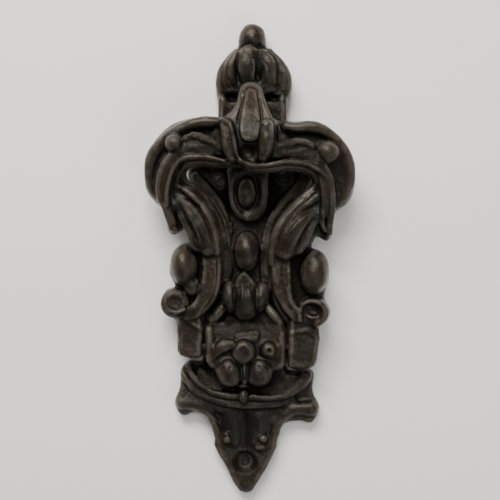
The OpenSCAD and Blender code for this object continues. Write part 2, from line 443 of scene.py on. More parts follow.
def sculpt_wings(clay):
    """The crossbar: a rolled rim around each wing, a broad leaf inside it and a thin lip along the grip."""
    rims = [
        [(11.5, -92.5, 28, 2), (16, -93, 28, 2.4), (21.5, -92.5, 28, 2.6), (27, -90.5, 27, 2.6),
         (33, -87, 26, 2.7), (38, -82, 25, 2.7), (40.5, -77, 24, 2.7), (41, -72, 23, 2.7),
         (40, -66.5, 22, 2.5), (37.5, -62, 21, 2.1), (35, -59.5, 20, 1.7)],
        [(-14.5, -91.5, 28, 2), (-19, -91, 28, 2.2), (-23.5, -91.5, 27.5, 2.3), (-27.5, -91, 27, 2.3),
         (-31.5, -89, 26, 2.3), (-36, -85, 25, 2.5), (-39, -80.5, 24, 2.5), (-40.7, -75, 23, 2.5),
         (-40.7, -69.5, 22.5, 2.4), (-39.3, -65, 21.5, 2.2), (-37.5, -62.5, 20, 1.9)]]
    leaves = [
        [(12, -81.5, 30, 2.4), (17, -82, 30.5, 3.6), (22, -82.5, 30.5, 3.8), (26, -81.5, 30, 3.6),
         (30, -79, 29.5, 3.2), (33.3, -75.5, 29, 3), (35, -71.5, 28.5, 2.8), (36, -66.5, 27.5, 2.7),
         (35.5, -62, 26.5, 2.5), (34, -57.5, 25, 2.2), (32.5, -53, 22.5, 2), (31.7, -49.5, 20, 1.7)],
        [(-7, -80.8, 30.5, 2.4), (-12, -81, 30.8, 3.2), (-17, -81.2, 30.8, 3.7), (-21.5, -80.8, 30.5, 3.5),
         (-25, -78.8, 30, 3.2), (-28, -75.5, 29.5, 3), (-30.5, -72, 28.8, 2.8), (-32, -67, 28, 2.6),
         (-32.8, -62.5, 27, 2.3), (-33.2, -57.5, 25, 1.7), (-33.2, -52.5, 23, 1.5), (-33, -48.3, 20.5, 1.3)]]
    lips = [
        [(10.5, -76.5, 33, 0.9), (16.5, -78, 32.5, 1.1), (21.5, -78.3, 32, 1.1), (26, -78, 31.5, 1.1),
         (29, -76.5, 31, 1.1), (31.5, -73, 30, 1.1), (33, -69, 29, 1.1), (34, -64, 28, 1),
         (34, -58.5, 26.5, 0.9)],
        [(4, -77, 34.5, 0.9), (0.5, -75.3, 34.5, 1), (-4, -74.8, 34, 1), (-8.5, -75.5, 34, 1),
         (-13.5, -76.5, 33.5, 1), (-19.5, -76.5, 32.5, 1), (-24, -75.5, 31.5, 1), (-28, -73.5, 30.5, 1),
         (-31, -71, 29, 1)],
        [(11.5, -93, 35, 0.9), (8.5, -91, 37, 0.9), (7, -86, 37.3, 0.9), (6, -81.5, 36.3, 0.9),
         (4, -77.7, 35, 0.9), (0.5, -75.3, 34.5, 0.9)]]
    under = [
        [(9, -75.8, 28, 1.2), (15.5, -76.2, 28, 1.4), (21, -76.6, 27.5, 1.4), (25.5, -76, 27, 1.4),
         (28, -74, 26, 1.6), (30, -71, 24.5, 2), (30.7, -66, 23, 2.3), (31, -61.5, 22, 2.3),
         (31, -57, 21, 2.1)],
        [(0.5, -74.2, 30, 1.2), (-5, -73.8, 29.5, 1.4), (-10.5, -74.3, 29, 1.4), (-16, -75, 28.5, 1.4),
         (-22, -74.6, 28, 1.4), (-26, -72.5, 27, 1.4), (-28.2, -69, 25.5, 1.6), (-29, -65, 24, 1.8),
         (-29, -60, 22.5, 1.8)]]
    valleys = [
        [(13, -88, 23.2, 4), (19, -89, 23.2, 4), (26, -88, 23, 4), (31.5, -84, 24, 4), (36, -79, 22.5, 4),
         (38, -72, 21, 3.5), (37, -66, 20, 3)],
        [(-13, -87.5, 23.2, 4), (-20, -88.5, 23.2, 4), (-27, -87.5, 23, 4), (-33, -83, 24, 4),
         (-36.5, -77, 22.5, 4), (-37.5, -70, 21, 3.5), (-36.5, -65, 20, 3)]]
    ridges = [
        [(12, -82.5, 30.8, 1), (15.5, -84.3, 31.8, 1.3), (19, -86, 32.3, 1.4), (23, -87, 31.8, 1.2),
         (26.5, -86, 30.6, 0.9)],
        [(-9, -82.3, 31.2, 1), (-13, -83.6, 32, 1.3), (-17.5, -84.8, 32.3, 1.4), (-22, -84.8, 31.6, 1.2),
         (-25, -83.5, 30.6, 0.9)]]
    clay.strokes(rims, blend=2, flat=1.1)
    clay.strokes(valleys, blend=2, flat=0.3)
    clay.strokes(leaves, blend=2, flat=0.6)
    clay.strokes(ridges, blend=2, flat=0.9)
    clay.strokes(under, blend=2, flat=1.6)
    clay.strokes(lips, blend=0.8, flat=1.4)
    clay.stroke([(-29.3, -70.5, 28, 1.2), (-30, -66.5, 28, 1.3), (-30.5, -62, 27, 1.3), (-30, -57, 25.5, 1.2),
                 (-30, -52.5, 23, 1.2), (-31, -49.5, 21.5, 1)], blend=1)
    for x, z, top, radius in ((31, -83.7, 31.5, 3.9), (-31.4, -80.9, 31.5, 4.8)):
        clay.blob(x, z, top, (radius, radius, radius), blend=0.9)
    for x, z in ((13, -86.5), (-12.5, -85.5)):
        clay.blob(x, z, 28, (3.5, 3.5, 3), blend=2)


def sculpt_tongue(clay):
    """The tongue, its raised panel, the scoop below the panel and a roll on each side."""
    slab(clay, rounded(TONGUE, 3), edge=1.6, blend=2, tops=[
        (-111, 19.5), (-109, 22), (-104, 25.5), (-98, 28.3), (-92, 30.3), (-84, 31), (-77, 30)])
    slab(clay, rounded(TONGUE_PANEL, 3), edge=1, blend=0.4, tops=[
        (-107, 24.3), (-104, 27), (-98, 30.5), (-92, 33.2), (-87.5, 34.8), (-84.5, 34.5)])
    for side in (1, -1):
        clay.engrave([(0.1 + side * 3.2, -104.5), (0.1 + side * 3.6, -100.5), (0.2 + side * 4.4, -96),
                      (0.3 + side * 5.1, -91)], 0.9, 0.6)
    clay.stroke([(11, -92.5, 34, 1.6), (9.8, -88.5, 36.5, 2.4), (9.3, -84.5, 36.5, 2.6),
                 (8.6, -80.5, 35.5, 2.2), (7.5, -77.8, 33.5, 1.4)], blend=1.2, flat=1.3)
    clay.stroke([(-6.2, -91, 35.3, 2.9), (-6.4, -88, 37.3, 3.2), (-6.4, -84.5, 37.8, 3.2),
                 (-6, -81, 36.3, 2.9), (-5.3, -78.3, 34, 2)], blend=0.8, flat=1.2)
    clay.scoop(1.2, -80.3, 38.5, (3.9, 3.7, 5.2), blend=1.4)


def sculpt_arms(clay):
    """Acanthus leaves that run down each arm and end over a ribbed strap."""
    for outline in ARM_LEAVES:
        slab(clay, rounded(outline, 3), edge=3, blend=2, tops=[
            (-69, 21), (-62, 22.6), (-50, 23), (-42, 22.4), (-37, 20.5)])
    ridges = [
        [(30, -66.5, 23, 0.9), (26.5, -65, 24.5, 1.3), (23, -62, 25, 1.5), (19.7, -58.3, 25, 1.5),
         (17, -53.8, 25, 1.5), (15, -48.5, 24.5, 1.5), (13.8, -43.5, 23.8, 1.5), (13.4, -39.5, 22.5, 1.3)],
        [(30, -59, 23.5, 1.8), (27.5, -55.5, 24, 2.2), (25.5, -51, 23.8, 2.3), (23.5, -46, 23, 2.3),
         (22.3, -42.5, 22, 2.2)],
        [(-26.5, -67, 22.5, 1.1), (-22, -62.8, 23.5, 1.4), (-18.5, -59, 24, 1.5), (-15, -55, 24, 1.5),
         (-12.3, -51, 24, 1.5), (-10.2, -46.5, 23.5, 1.4), (-9.5, -41.5, 22.5, 1.3), (-9.2, -35.5, 21, 1.2)],
        [(-28.5, -63.5, 24.5, 1.4), (-24, -60.5, 25.3, 1.9), (-20, -57.3, 25.5, 2.1),
         (-16.7, -53.5, 25.3, 2.1), (-14.3, -49, 24.8, 2), (-12.7, -44.5, 24.2, 1.9), (-12, -40.5, 23, 1.7)],
        [(-28, -58.5, 23, 1.5), (-26.3, -55, 23.5, 2), (-24.3, -50.5, 23.5, 2.2), (-22.3, -46, 23, 2.2),
         (-20.7, -41.5, 22, 2)]]
    clay.strokes(ridges, blend=2, flat=0.9)
    leaves = [
        [(29.5, -62.5, 22.5, 0.8), (27, -59.7, 24.8, 1.7), (24.3, -56.5, 26, 2.6), (21.3, -52.5, 26.3, 3.3),
         (19, -48.5, 26, 3.9), (17.6, -44.3, 25.3, 4), (17, -41.6, 24.3, 3.6)],
        [(-28.5, -57.5, 22.5, 0.8), (-26.3, -56, 24.5, 1.7), (-23, -53.8, 25.8, 2.6), (-20, -50.6, 26.3, 3.3),
         (-17.4, -46.6, 26, 3.9), (-15.6, -42.6, 25.2, 4), (-14.9, -40.4, 24.3, 3.6)]]
    clay.strokes(leaves, blend=1.6, flat=0.75)
    for crease in ([(26.5, -57.5), (22.9, -53), (19.5, -48), (17.5, -44.5)],
                   [(-25.5, -56.3), (-21.5, -54), (-17.7, -50.2), (-14.7, -46.2)]):
        clay.engrave(crease, 0.9, -0.35)
    clay.engrave([(26.5, -63), (22.5, -59.3), (18.8, -54.3), (16.2, -48.5), (14.8, -42.5)], 0.9, 0.7)
    clay.engrave([(-25.5, -63.7), (-20.5, -59), (-16.2, -54), (-12.8, -48.5), (-10.9, -42)], 0.8, 0.7)
    clay.engrave([(28, -57.5), (25.2, -52.5), (22.4, -47.5), (21, -43)], 0.9, 0.7)
    clay.engrave([(-27, -55), (-23.5, -50.5), (-20.7, -45.5), (-19, -41)], 0.9, 0.7)
    straps = [
        [(15.6, -38.5, 20.6, 3.7), (15.5, -30.5, 20.8, 4), (16.2, -25, 20.6, 4), (18.4, -19.5, 20, 3.8),
         (21.9, -15.3, 19.6, 3.2), (24.8, -13, 19, 2.2)],
        [(-13.4, -37.5, 20.4, 3.7), (-13.5, -30.5, 20.6, 3.9), (-14.1, -25, 20.4, 3.7), (-15.7, -20, 20, 3.1),
         (-18.2, -15.8, 19.5, 2.6), (-20.4, -12.8, 19, 1.8)]]
    clay.strokes(straps, blend=1.2, flat=0.42)
    clay.engrave([(14.2, -38), (14, -30), (14.7, -24.5), (17.3, -18.8), (21, -14.6)], 0.8, -0.4)
    clay.engrave([(13, -38), (12.8, -30), (13.6, -24), (16.4, -18.2), (20, -14)], 0.8, 0.5)
    clay.engrave([(-13.8, -38), (-13.8, -30), (-14.5, -24.5), (-16.2, -19.3), (-19.3, -14.4)], 0.8, 0.6)
    clay.engrave([(-15.7, -36), (-15.8, -30), (-16.2, -25)], 0.7, 0.3)
    # The bulb outside each arm, and the scroll at the arm's root.
    clay.blob(27, -33.8, 24, (5.9, 9, 8), turn=4)
    clay.blob(23.6, -25.4, 20.8, (3.7, 4.1, 3.5))
    clay.blob(-27.3, -31.9, 24, (6.2, 9.4, 8), turn=-4)
    clay.blob(30.6, -18.1, 20.5, (6, 6.1, 3.2))
    clay.scoop(30.8, -18.8, 23, (4, 3.4, 2.1), blend=1)
    clay.stroke([(33.3, -16.2, 20.8, 0.8), (30.3, -14.6, 21, 0.9), (26.5, -15.8, 20.6, 0.8)], blend=0.7)
    clay.engrave([(33, -14.5), (29.5, -13), (26, -14)], 0.8, 0.6)
    clay.blob(-27.6, -15.2, 19.3, (6.2, 6, 3))
    clay.stroke([(-21.5, -12, 20, 1.2), (-21, -16, 20.5, 1.3), (-23.5, -18.8, 21, 1.3),
                 (-26.7, -19.7, 21, 1.3), (-30, -18.7, 21, 1.4), (-31.7, -15.7, 20.5, 1.5),
                 (-31, -12.5, 20, 1.5), (-28, -10, 19.5, 1.3)], blend=0.9)
    clay.scoop(-26.4, -16.3, 23, (4, 2.6, 3), turn=-12, blend=0.9)
    clay.engrave([(-23.2, -15.5), (-23.8, -12.8), (-25.8, -10.7)], 0.8, 0.8)


def sculpt_knocker():
    clay = Clay((-46, -113, 4), (46, 10, 41))
    slab(clay, rounded(KNOCKER_OUTLINE), edge=3, tops=[
        (-111, 17), (-99, 19), (-94, 22), (-76, 22), (-66, 19.5), (-50, 17.5), (-35, 15.5), (-20, 14),
        (8, 13)])
    sculpt_wings(clay)
    sculpt_tongue(clay)
    sculpt_arms(clay)
    for outline in TABS:
        slab(clay, rounded(outline, 3), edge=1.6, blend=1.2, tops=[(-16, 18), (-8, 17.3), (8, 16.8)])
    clay.stroke([(25.5, -11, 17.7, 0.9), (22.5, -9, 17.9, 0.9), (19.8, -7.5, 17.5, 0.9)], blend=0.8)
    clay.stroke([(-18, -6.3, 17.6, 0.9), (-22, -7.2, 18, 1), (-25, -7.4, 18, 1), (-29, -4.3, 17.3, 0.8)],
                blend=0.8)
    clay.engrave([(-21.2, -5.5), (-21.2, 2)], 0.9, 0.3)
    spots = ((21, -86.5, 6, 2.5, 1.2), (14.5, -86, 4, 4, 1.2), (18, -81, 4, 1.5, 0.6),
             (-16, -84.5, 6, 2.2, 1.2), (-25, -80, 3, 3, 0.7), (22.5, -57.5, 5, 2, 0.7),
             (17, -28, 2.2, 9, 0.8), (-13.5, -28, 3.5, 9, 0.7), (-21.5, -17.5, 2, 4, 1),
             (-22.5, -57, 4, 2, 0.9), (-25, -49, 3, 6, 0.6), (-22, 0, 4, 6, 0.7), (-37, -68, 2.5, 9, 0.6),
             (30, -20, 4, 4, 0.5), (-20, -23, 2.5, 6, 0.9), (24, 0, 5, 6, 0.3))
    sand_cast(clay, spots, seed=3)
    x, z = plan(clay)
    keep_above(clay, [(-111, 14.3), (-97, 14.3), (-93, 18), (-74, 18), (-66, 14), (-52, 10.5), (-12, 8.5),
                      (-6, 7), (9, 7)])
    h = clay.axes[2][None, None, :]
    clay.trim(PIN_BORE_R - np.hypot(h - PIN_OUT, z[:, :, None]))
    fit(clay)
    return to_mesh("knocker_casting", clay)


PLATE_OUTLINE = [
    (0.5, 63.2), (4.4, 59.2), (7.8, 51.3), (12.2, 44.3), (13.7, 35.4), (16.8, 30), (22.3, 28.7), (27.6, 29.8),
    (30.8, 25), (28.7, 18), (28.5, 10.3), (25, 6.7), (19.7, 6.5), (19.7, 0), (19.7, -10), (19.4, -16),
    (15.7, -22), (14.2, -32), (14.2, -45), (17.7, -57), (22.7, -65), (25.9, -72), (23.8, -77.7),
    (16.7, -80.7), (13.7, -88), (13.7, -98), (14.7, -109), (12.2, -118), (6.2, -126), (5.2, -131),
    (0.2, -136.2), (-5.6, -130.5), (-6.6, -126.5), (-15.2, -116.5), (-16.7, -109), (-15.2, -98), (-14.7, -88),
    (-18.7, -80.7), (-25.7, -76.7), (-28.3, -68), (-21.8, -61.2), (-14.8, -50), (-11.8, -38), (-11.8, -27),
    (-14.8, -20), (-17.4, -14), (-17.6, -8), (-17.6, 0), (-17, 9.9), (-24, 10.1), (-28.2, 11.3), (-27.7, 19),
    (-30.6, 26), (-27.7, 32.5), (-22, 31.7), (-15.3, 33.2), (-12.8, 40), (-10.3, 48), (-5.8, 55), (-2.3, 61.3)
]
SPINE_OUTLINE = [
    (0.5, 60), (9, 44), (10.5, 33), (17, 24), (24, 15), (17, 9), (17, -9), (9.5, -16), (9.3, -74), (12, -85),
    (12.5, -112), (7, -122), (4, -129), (-4.6, -129), (-8, -122), (-14, -112), (-13.2, -85), (-7.8, -74),
    (-7.2, -40), (-7.2, -16), (-14.6, -9), (-14.6, 9), (-22.5, 16), (-16, 26), (-10, 34), (-8, 44)
]
BOSS = [(16, 9.3), (17.9, 6.5), (17.9, -7), (16, -10.5), (-13.5, -10.5), (-15.7, -7), (-15.7, 6.5),
        (-13.5, 9.5)]
CARTOUCHE = [
    (8.8, -76), (9.2, -68), (8.4, -60.5), (6.3, -55.5), (3, -53), (-0.5, -52.6), (-4, -54), (-6.3, -57.5),
    (-7.3, -62.5), (-7.2, -69), (-6.8, -76)
]
BOSS_TAB = [(5, -6), (-3.5, -7), (-4, -3.5), (-1.5, -2.5), (4.5, -2.5)]


def sculpt_bud(clay):
    """The bud that hangs below the grip: a knob, then petals over a round body, then its neck."""
    clay.blob(-0.2, -131, 11, (5.9, 6.1, 5.5), blend=1)
    clay.blob(-0.7, -111, 12.6, (14, 14.8, 8), blend=1.5)
    clay.blob(-0.2, -120.6, 14.2, (7.4, 6.6, 6.5), blend=0.5)
    outer = [
        [(6.5, -124, 10, 1.7), (9.5, -120, 10.5, 2.3), (11.8, -115.5, 11, 2.8), (12.3, -110.5, 11, 2.9),
         (11.5, -106, 10, 2.2)],
        [(-7.5, -124.5, 10, 1.7), (-11.2, -120, 10.5, 2.5), (-13.7, -115, 11, 3), (-14.1, -110, 11, 3),
         (-13, -105.5, 10, 2.3)]]
    inner = [
        [(6.8, -122, 12.8, 2), (8.6, -117.5, 13.4, 2.8), (9, -112.5, 13.3, 3), (8.4, -109, 12.4, 2.6)],
        [(-4.5, -123, 13, 2.2), (-6.8, -119, 13.8, 3.4), (-7.6, -114, 13.8, 3.7), (-7.3, -110, 12.8, 3.3)]]
    clay.strokes(outer, blend=1.5, flat=1)
    clay.strokes(inner, blend=1.4, flat=0.8)
    clay.stroke([(1.2, -123.5, 14.6, 3.4), (1.8, -120.5, 15.3, 4), (2, -117, 15.4, 4),
                 (1.5, -113.5, 14.3, 3.2), (0.6, -110.5, 13.3, 2.4)], blend=1.2, flat=0.7)
    clay.engrave([(5.4, -124), (6.4, -120), (6.6, -117), (5.8, -113), (5, -110)], 0.7, 0.6)
    clay.engrave([(-0.6, -121), (-1.2, -117), (-1, -112.5)], 0.6, -0.5)
    clay.engrave([(10, -112.5), (8, -110), (6, -108)], 0.6, 0.4)
    clay.engrave([(10.3, -110), (8.5, -108), (7, -107)], 0.6, 0.4)
    clay.engrave([(-5, -121), (-7, -117), (-8, -112)], 0.7, 0.35)
    clay.engrave([(-9, -120), (-10.5, -116), (-11, -111)], 0.7, 0.4)
    clay.scoop(-2.7, -113.8, 16, (1.3, 2.3, 2.7), turn=12, blend=1)
    clay.blob(0, -105.5, 13.9, (5.2, 5, 4), blend=1.5)
    # The neck: a sunk panel on each side of the middle, with a border outside it.
    clay.scoop(8.4, -104.9, 16, (3.6, 1.9, 4.3), blend=1.5)
    clay.scoop(-8.7, -105.1, 16, (3.4, 1.8, 4.3), blend=1.5)
    for x in (12.2, -13.4):
        clay.stroke([(x, -104, 11, 1.5), (x, -95, 11, 1.6), (x, -86, 10, 1.7)], blend=1.2, flat=0.7)


def sculpt_spine(clay):
    """Behind the grip: two ears with straps that run in from them, the cartouche and an oval bead."""
    for x, z, top, radius in ((21.5, -73, 6.5, 4.9), (-23.5, -71, 7, 4.9)):
        clay.blob(x, z, top, (radius, radius, 3), blend=1)
    straps = [
        [(23, -71.5, 8, 1.8), (19.5, -67.5, 8.5, 2.2), (16, -63, 9, 2.5), (13, -57.8, 9.3, 2.7),
         (10.8, -51.5, 9.5, 2.7), (9.5, -45, 9.5, 2.6), (9, -37.5, 9.5, 2.5), (9.6, -30.5, 9.5, 2.3),
         (11, -24, 9.5, 2)],
        [(-24.3, -73.5, 8, 2.6), (-22.3, -69.5, 9, 2.8), (-19, -65, 10, 2.8), (-14.8, -60.2, 10, 2.7),
         (-10.8, -54.5, 10, 2.6), (-8, -47.5, 10, 2.4), (-6.8, -41, 10, 2.1), (-6.6, -33, 9.7, 2),
         (-7.5, -25, 9.5, 1.8)]]
    clay.strokes(straps, blend=1.2, flat=0.4)
    clay.engrave([(19, -65.5), (14.8, -60.5), (11.2, -54), (8.8, -46.5), (8, -38)], 0.8, -0.5)
    clay.engrave([(-19, -63), (-14.5, -57.8), (-10.7, -51.5), (-8.2, -44)], 0.8, 0.4)
    slab(clay, rounded(CARTOUCHE, 3), edge=2.2, blend=1, tops=[(-76, 12), (-66, 12.7), (-53, 11.7)])
    clay.stroke([(-4.4, -73.5, 12.4, 2), (-5, -67.5, 12.7, 2.2), (-4.7, -62, 12.7, 2.3),
                 (-2.5, -56.7, 12.2, 2.2), (1, -55, 12, 2)], blend=1.8, flat=0.5)
    clay.stroke([(6.3, -73, 12.4, 1.3), (6.9, -67.5, 12.6, 1.3), (6.6, -62, 12.6, 1.4),
                 (4.6, -57.5, 12.2, 1.5)], blend=1.8, flat=0.6)
    clay.scoop(1.4, -64.6, 15.4, (5.3, 8.9, 2.3), blend=1.8)
    clay.blob(1.4, -64.6, 16.4, (4.2, 6.8, 5), blend=1)
    clay.blob(1.1, -40.3, 15.5, (5.6, 8.8, 7), blend=1)


def sculpt_bell(clay):
    """A bellflower at the top of the boss, with a leaf from it to each of the boss's corners."""
    clay.blob(1.4, -19.8, 16.8, (6.2, 9.6, 7))
    clay.blob(7.8, -20.8, 15, (3.8, 7, 5.5), turn=6, blend=0.7)
    clay.blob(-5, -21, 15, (3.8, 6.8, 5.5), turn=-8, blend=0.9)
    clay.stroke([(4.6, -26, 13.8, 1), (3.7, -29, 13, 1), (2, -30.3, 12.6, 1), (0, -28.5, 13.2, 1),
                 (-2, -25.5, 13.8, 1)], blend=1.3)
    clay.engrave([(2.8, -26), (2.6, -23), (2.6, -19)], 0.7, -0.6)
    clay.engrave([(0.4, -25), (-0.4, -22), (-0.8, -18.5)], 0.7, -0.5)
    clay.engrave([(6, -25.5), (6.3, -20), (6, -15)], 0.7, 0.4)
    clay.stroke([(9.8, -17.8, 11.5, 1.6), (12.8, -14.2, 13.3, 2.3), (15.3, -11.6, 13.3, 2.2)], blend=0.9,
                flat=0.8)
    clay.stroke([(-7.4, -17.5, 11.5, 1.4), (-10.6, -13.6, 13.3, 1.9), (-13, -10.2, 13.3, 1.8)], blend=0.9,
                flat=0.8)


def sculpt_boss(clay):
    """The hinge boss: side edges, and a rosette of four unlike petals around a dished disc."""
    slab(clay, np.array(BOSS, float), edge=3, blend=1.5, tops=[(-10.5, 12), (-7, 14.4), (0, 15.2), (9, 15)])
    clay.stroke([(16.6, -7.5, 14.8, 1.2), (16.1, -4, 15.9, 1.6), (15.5, 0, 16.3, 1.7), (14.8, 4, 15.6, 1.4)],
                blend=1.8, flat=0.7)
    clay.stroke([(-13.8, -6, 15.4, 1.3), (-13.7, -1.5, 16.2, 1.7), (-13.8, 3, 16, 1.6),
                 (-14, 6.5, 15.3, 1.3)], blend=1.8, flat=0.7)
    slab(clay, rounded(BOSS_TAB, 3), edge=1, blend=1.2, tops=[(-7, 15.3), (-3, 16.2)])
    clay.blob(7.8, 10.3, 18.6, (5.6, 6.6, 6), turn=8, blend=1.1)
    clay.blob(-5, 10, 18.6, (5.6, 6.6, 6), turn=-8, blend=1.1)
    clay.blob(-8.8, 0.9, 18, (3.8, 3.8, 3.6), blend=1.3)
    clay.stroke([(6.8, -1.3, 17.6, 2), (10.3, -0.4, 18.2, 2.7), (13, 1.6, 17.5, 2.4), (14.4, 3.6, 16.6, 1.5)],
                blend=1.3, flat=0.8)
    clay.scoop(-8.8, 0.9, 19.4, (1, 1, 1.4), blend=0.5)
    clay.blob(1.8, 1.7, 19.6, (5.2, 5.4, 4), blend=0.3)
    clay.scoop(1.8, 1.8, 22.3, (5, 5.1, 1.8), blend=0.7)
    for vein in ([(6.8, 7), (8, 10.5), (9, 14.5)], [(10, 7), (11, 10.5), (11.4, 13.5)],
                 [(-4.2, 7), (-5.4, 10.5), (-6.6, 14.5)], [(-7.4, 6.6), (-8.6, 10), (-9, 13)]):
        clay.engrave(vein, 1, 0.2)
    clay.stroke([(1.4, 7, 17, 0.7), (1.4, 11, 16, 0.8), (1.5, 14.3, 14, 0.9)], blend=1)
    clay.scoop(18.5, 9.5, 14, (3.8, 4, 4.4), blend=1.5)


def sculpt_crest(clay):
    """Above the boss: a triple swag with its knot, two lobed ears, and a point with the upper screw hole."""
    swags = [
        [(25, 8.6, 8.5, 1.3), (24, 11.5, 9, 1.4), (21.5, 14.8, 9.7, 1.4), (18.5, 17.5, 10, 1.4),
         (14.5, 19.5, 10.3, 1.4), (9, 20.7, 10.5, 1.4), (3, 21.2, 10.5, 1.4), (-3, 21.5, 10.5, 1.4),
         (-9.5, 21.5, 10.5, 1.4), (-15.5, 20.3, 10.5, 2), (-20, 17.8, 10.2, 2.7), (-23.3, 14.3, 9.5, 2.7),
         (-25, 12, 8.5, 2)],
        [(27.2, 12.5, 7.5, 1.3), (24.5, 16.5, 8.5, 1.4), (21, 20, 9, 1.5), (15.5, 22.5, 9.3, 1.6),
         (10, 24, 9.5, 1.6), (3, 24.7, 9.5, 1.6), (-3.5, 24.8, 9.5, 1.6), (-10.5, 24.5, 9.3, 1.6),
         (-15.5, 23.6, 8.8, 1.5), (-19.5, 22, 8, 1.2)],
        [(24.5, 21, 7.8, 1.2), (18.5, 24, 8.3, 1.4), (13, 26.7, 8.2, 1.3), (8, 27.4, 7.8, 1.1)]]
    clay.strokes(swags, blend=1.2, flat=0.8)
    clay.stroke([(20, 11, 8, 1.5), (16.5, 15, 8.6, 1.9), (11.5, 17.5, 9, 1.5)], blend=1.5, flat=0.5)
    clay.stroke([(-6, 18.3, 9, 1.2), (-11.5, 18, 9.2, 1.7), (-16, 16, 9, 1.7), (-18.8, 13, 8.4, 1.5)],
                blend=1.5, flat=0.5)
    clay.blob(1.6, 21, 12.5, (2.1, 3.1, 3.5), blend=0.6)
    clay.blob(2.1, 16.2, 12.8, (2, 1.2, 3), blend=0.7)
    ears = [
        [(27.2, 24.3, 9, 2.7), (23.5, 24.6, 9, 2.3), (19.3, 26.5, 9, 2.1), (16.2, 29, 8.5, 1.9),
         (14, 32.5, 8, 1.8), (12.8, 36, 7.5, 1.7), (11.6, 41, 7.5, 1.6)],
        [(-26.8, 26, 9, 2.9), (-22.5, 25.8, 9, 2.5), (-18.5, 26.8, 9, 2.2), (-15, 29.7, 8.5, 2),
         (-12.5, 33, 8, 1.9), (-11, 37, 7.5, 1.8), (-10.2, 41.5, 7.5, 1.6)],
        [(12, 42, 7, 1.7), (9.1, 47, 7, 1.8), (6.6, 51.5, 7, 1.8), (4.4, 56, 6.5, 1.6), (2, 60, 6, 1.4)],
        [(-10.2, 42.5, 7, 1.7), (-8, 47, 7, 1.8), (-5.9, 51.5, 7, 1.8), (-3.5, 56.5, 6.5, 1.6),
         (-1, 60.5, 6, 1.4)],
        [(7.2, 30.5, 7.5, 3.2), (6.2, 35.5, 7.5, 2.9), (5.2, 40.5, 7.5, 1.8)],
        [(-5.2, 30.5, 7.5, 3.2), (-4.6, 35.5, 7.5, 2.9), (-3.6, 40.5, 7.5, 1.8)]]
    clay.strokes(ears, blend=2, flat=0.9)
    clay.engrave([(-16.5, 28.4), (-13.3, 31), (-10.3, 34.7), (-8.6, 38.5)], 0.9, 0.5)
    clay.engrave([(20, 28.3), (15.5, 31.5), (11.5, 33.5), (10, 38)], 0.9, 0.4)
    clay.stroke([(0.6, 53, 7, 3.4), (0.6, 57.5, 6.6, 2.6)], blend=1.5, flat=0.5)
    for x, z, top, wide, long in ((8.3, 39.6, 9.3, 1.9, 1.8), (8.8, 37.2, 8.8, 1.7, 1),
                                  (-6.8, 39, 9.3, 2, 1.8), (-5.8, 42.8, 8.9, 2.4, 1.4)):
        clay.blob(x, z, top, (wide, long, 2), blend=0.7)
    clay.engrave([(1, 27.5), (1, 34.5), (1, 41), (0.6, 45.5)], (2.1, 2.3, 2.1, 1.6), 0.8)


def sculpt_plate():
    clay = Clay((-34, -140, -1.5), (34, 66, 23))
    slab(clay, rounded(PLATE_OUTLINE), edge=2.2, tops=[
        (-137, 6), (-126, 7), (-110, 8), (-90, 7), (-80, 5.3), (-70, 4.5), (10, 4.8), (20, 6), (50, 6.3),
        (64, 5)])
    slab(clay, rounded(SPINE_OUTLINE), edge=3, tops=[
        (-132, 7), (-123, 8.5), (-112, 10), (-102, 10.7), (-88, 10.2), (-80, 8), (-30, 8), (-14, 9),
        (-9.5, 10), (9, 10), (14, 8.5), (20, 8), (36, 6.5), (60, 5)])
    sculpt_bud(clay)
    sculpt_spine(clay)
    sculpt_boss(clay)
    sculpt_bell(clay)
    sculpt_crest(clay)
    spots = ((-10.5, -110, 3, 4, 1), (-9, -98, 3, 6, 0.8), (8.3, -98, 2.5, 5, 0.4), (1.5, -27, 5, 3, 1),
             (0, -9, 12, 3, 0.7), (10, -5, 5, 3, 0.6), (-11, -6, 4, 3, 0.7), (17, 13, 6, 4, 0.9),
             (-16, 14, 6, 4, 0.9), (-12, 18, 7, 2, 1), (22, 19, 5, 4, 0.6), (0.6, 56, 3, 5, 0.8),
             (-14, 31, 5, 4, 0.5), (7, 44, 4, 4, 0.7), (-6, 44, 4, 4, 0.7), (7, -50, 3, 6, 0.7),
             (-5, -50, 3, 5, 0.6), (1, 24, 8, 3, 0.4))
    sand_cast(clay, spots, seed=11)
    # The screw holes, the pin's bore and the flat back.
    x, z = plan(clay)
    h = clay.axes[2][None, None, :]
    for sx, sz in LOW_SCREWS:
        clay.scoop(sx, sz, 13, (4, 4, 4.7), blend=0.6)
        clay.trim(SCREW_R - np.hypot(x - sx, z - sz)[:, :, None])
    away = np.hypot(x - CREST_SCREW[0], z - CREST_SCREW[1])[:, :, None]
    clay.trim(SCREW_R - away)
    clay.trim((SCREW_R + (h - SINK_FROM) - away) * 0.7, 0.3)
    clay.trim(PIN_PRESS_R - np.hypot(h - PIN_OUT, z[:, :, None]))
    clay.trim(-h)
    fit(clay)
    return to_mesh("back_plate_casting", clay)


back_plate = sculpt_plate()
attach(back_plate, "plate")
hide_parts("back_plate")
knocker = sculpt_knocker()
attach(knocker, "striker")
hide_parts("knocker")


# --- Stage, lights and camera ---

def studio_light(name, place, aim, size, power, colour=(1, 1, 1)):
    """A soft rectangular light, size metres across, that shines from place at aim."""
    data = bpy.data.lights.new(name, "AREA")
    data.shape = "RECTANGLE"
    data.size, data.size_y = size
    data.energy = power
    data.color = colour
    light = bpy.data.objects.new(name, data)
    light.location = place
    light.rotation_euler = (Vector(aim) - Vector(place)).to_track_quat("-Z", "Y").to_euler()
    bpy.context.scene.collection.objects.link(light)


